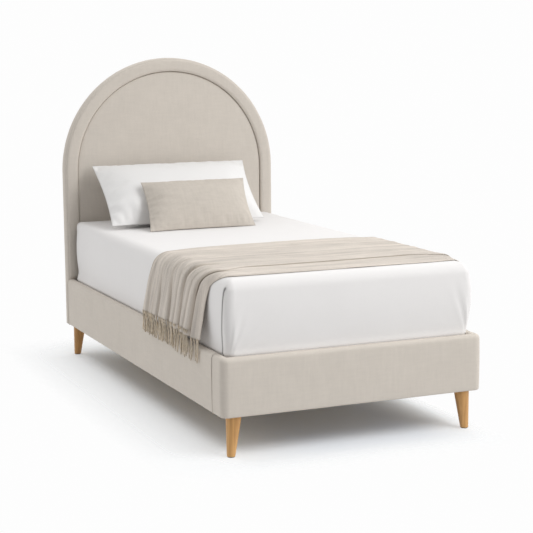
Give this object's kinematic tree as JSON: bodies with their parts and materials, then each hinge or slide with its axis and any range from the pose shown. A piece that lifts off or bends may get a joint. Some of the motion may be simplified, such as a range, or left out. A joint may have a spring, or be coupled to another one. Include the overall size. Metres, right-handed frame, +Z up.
{
  "type": "upholstered bed",
  "caption": "Single upholstered bed with an arched padded headboard, padded rails on a slatted base, turned legs, mattress, pillow, cushion and fringed throw.",
  "frame": {"origin": "middle of the bed's rectangle on the floor, under the bounding box", "axes": "+Y along the bed towards the headboard, +X to the right seen from the foot, +Z up"},
  "size_m": [1.088, 2.005, 1.374],
  "materials": {
    "panel_linen": "plain woven linen, matt",
    "border_linen": "plain woven linen, matt",
    "back_linen": "plain woven linen, matt",
    "rail_linen": "plain woven linen, matt",
    "plywood": "sawn plywood",
    "frame_timber": "planed pine",
    "slat_pine": "planed pine",
    "webbing": "polyester webbing",
    "leg_oak": "oiled oak, satin",
    "bracket_steel": "zinc plated",
    "zinc_steel": "zinc plated",
    "felt": "pressed felt",
    "mattress_ticking": "woven ticking",
    "sheet_cotton": "smooth cotton, matt",
    "throw_weave": "loose herringbone weave",
    "throw_fringe": "twisted yarn",
    "pillow_cotton": "smooth cotton, matt",
    "cushion_linen": "slubbed linen"
  },
  "bodies": {
    "frame": {"headboard_panel_pad": "panel_linen", "headboard_border_pad": "border_linen", "headboard_side_band": "border_linen", "headboard_back_cloth": "back_linen", "rail_seat_left": "rail_linen", "rail_seat_right": "rail_linen", "foot_cover": "rail_linen", "side_cover_left": "rail_linen", "side_cover_right": "rail_linen", "headboard_core": "plywood", "headboard_stile_left": "frame_timber", "headboard_stile_right": "frame_timber", "headboard_arch_rib": "frame_timber", "headboard_lower_batten": "frame_timber", "headboard_upper_batten": "frame_timber", "foot_board": "frame_timber", "foot_return_left": "frame_timber", "foot_return_right": "frame_timber", "side_board_left": "frame_timber", "side_board_right": "frame_timber", "ledger_left": "frame_timber", "ledger_right": "frame_timber", "corner_block_left": "frame_timber", "corner_block_right": "frame_timber", "slat_1": "slat_pine", "slat_2": "slat_pine", "slat_3": "slat_pine", "slat_4": "slat_pine", "slat_5": "slat_pine", "slat_6": "slat_pine", "slat_7": "slat_pine", "slat_8": "slat_pine", "slat_9": "slat_pine", "slat_10": "slat_pine", "slat_11": "slat_pine", "slat_12": "slat_pine", "slat_straps": "webbing", "leg_front_left": "leg_oak", "leg_front_right": "leg_oak", "leg_back_left": "leg_oak", "leg_back_right": "leg_oak", "leg_plates": "bracket_steel", "foot_brackets": "bracket_steel", "head_brackets": "bracket_steel", "bracket_bolts": "zinc_steel", "bracket_screws": "zinc_steel", "tee_nuts": "zinc_steel", "leg_bolts": "zinc_steel", "plate_screws": "zinc_steel", "slat_screws": "zinc_steel", "ledger_screws": "zinc_steel", "leg_glides": "felt"},
    "mattress": {"mattress": "mattress_ticking", "fitted_sheet": "sheet_cotton"},
    "throw": {"throw": "throw_weave", "throw_fringe_left": "throw_fringe", "throw_fringe_right": "throw_fringe"},
    "pillow": {"pillow": "pillow_cotton"},
    "cushion": {"cushion": "cushion_linen"}
  },
  "joints": [
    {"name": "mattress_lift", "type": "slide", "parent": "frame", "child": "mattress", "axis": [0, 0, 1], "range_m": [0, 0.35]},
    {"name": "throw_lift", "type": "slide", "parent": "mattress", "child": "throw", "axis": [0, 0, 1], "range_m": [0, 0.45]},
    {"name": "pillow_lift", "type": "slide", "parent": "mattress", "child": "pillow", "axis": [0, 0, 1], "range_m": [0, 0.35]},
    {"name": "cushion_lift", "type": "slide", "parent": "pillow", "child": "cushion", "axis": [0, 0, 1], "range_m": [0, 0.3]}
  ]
}
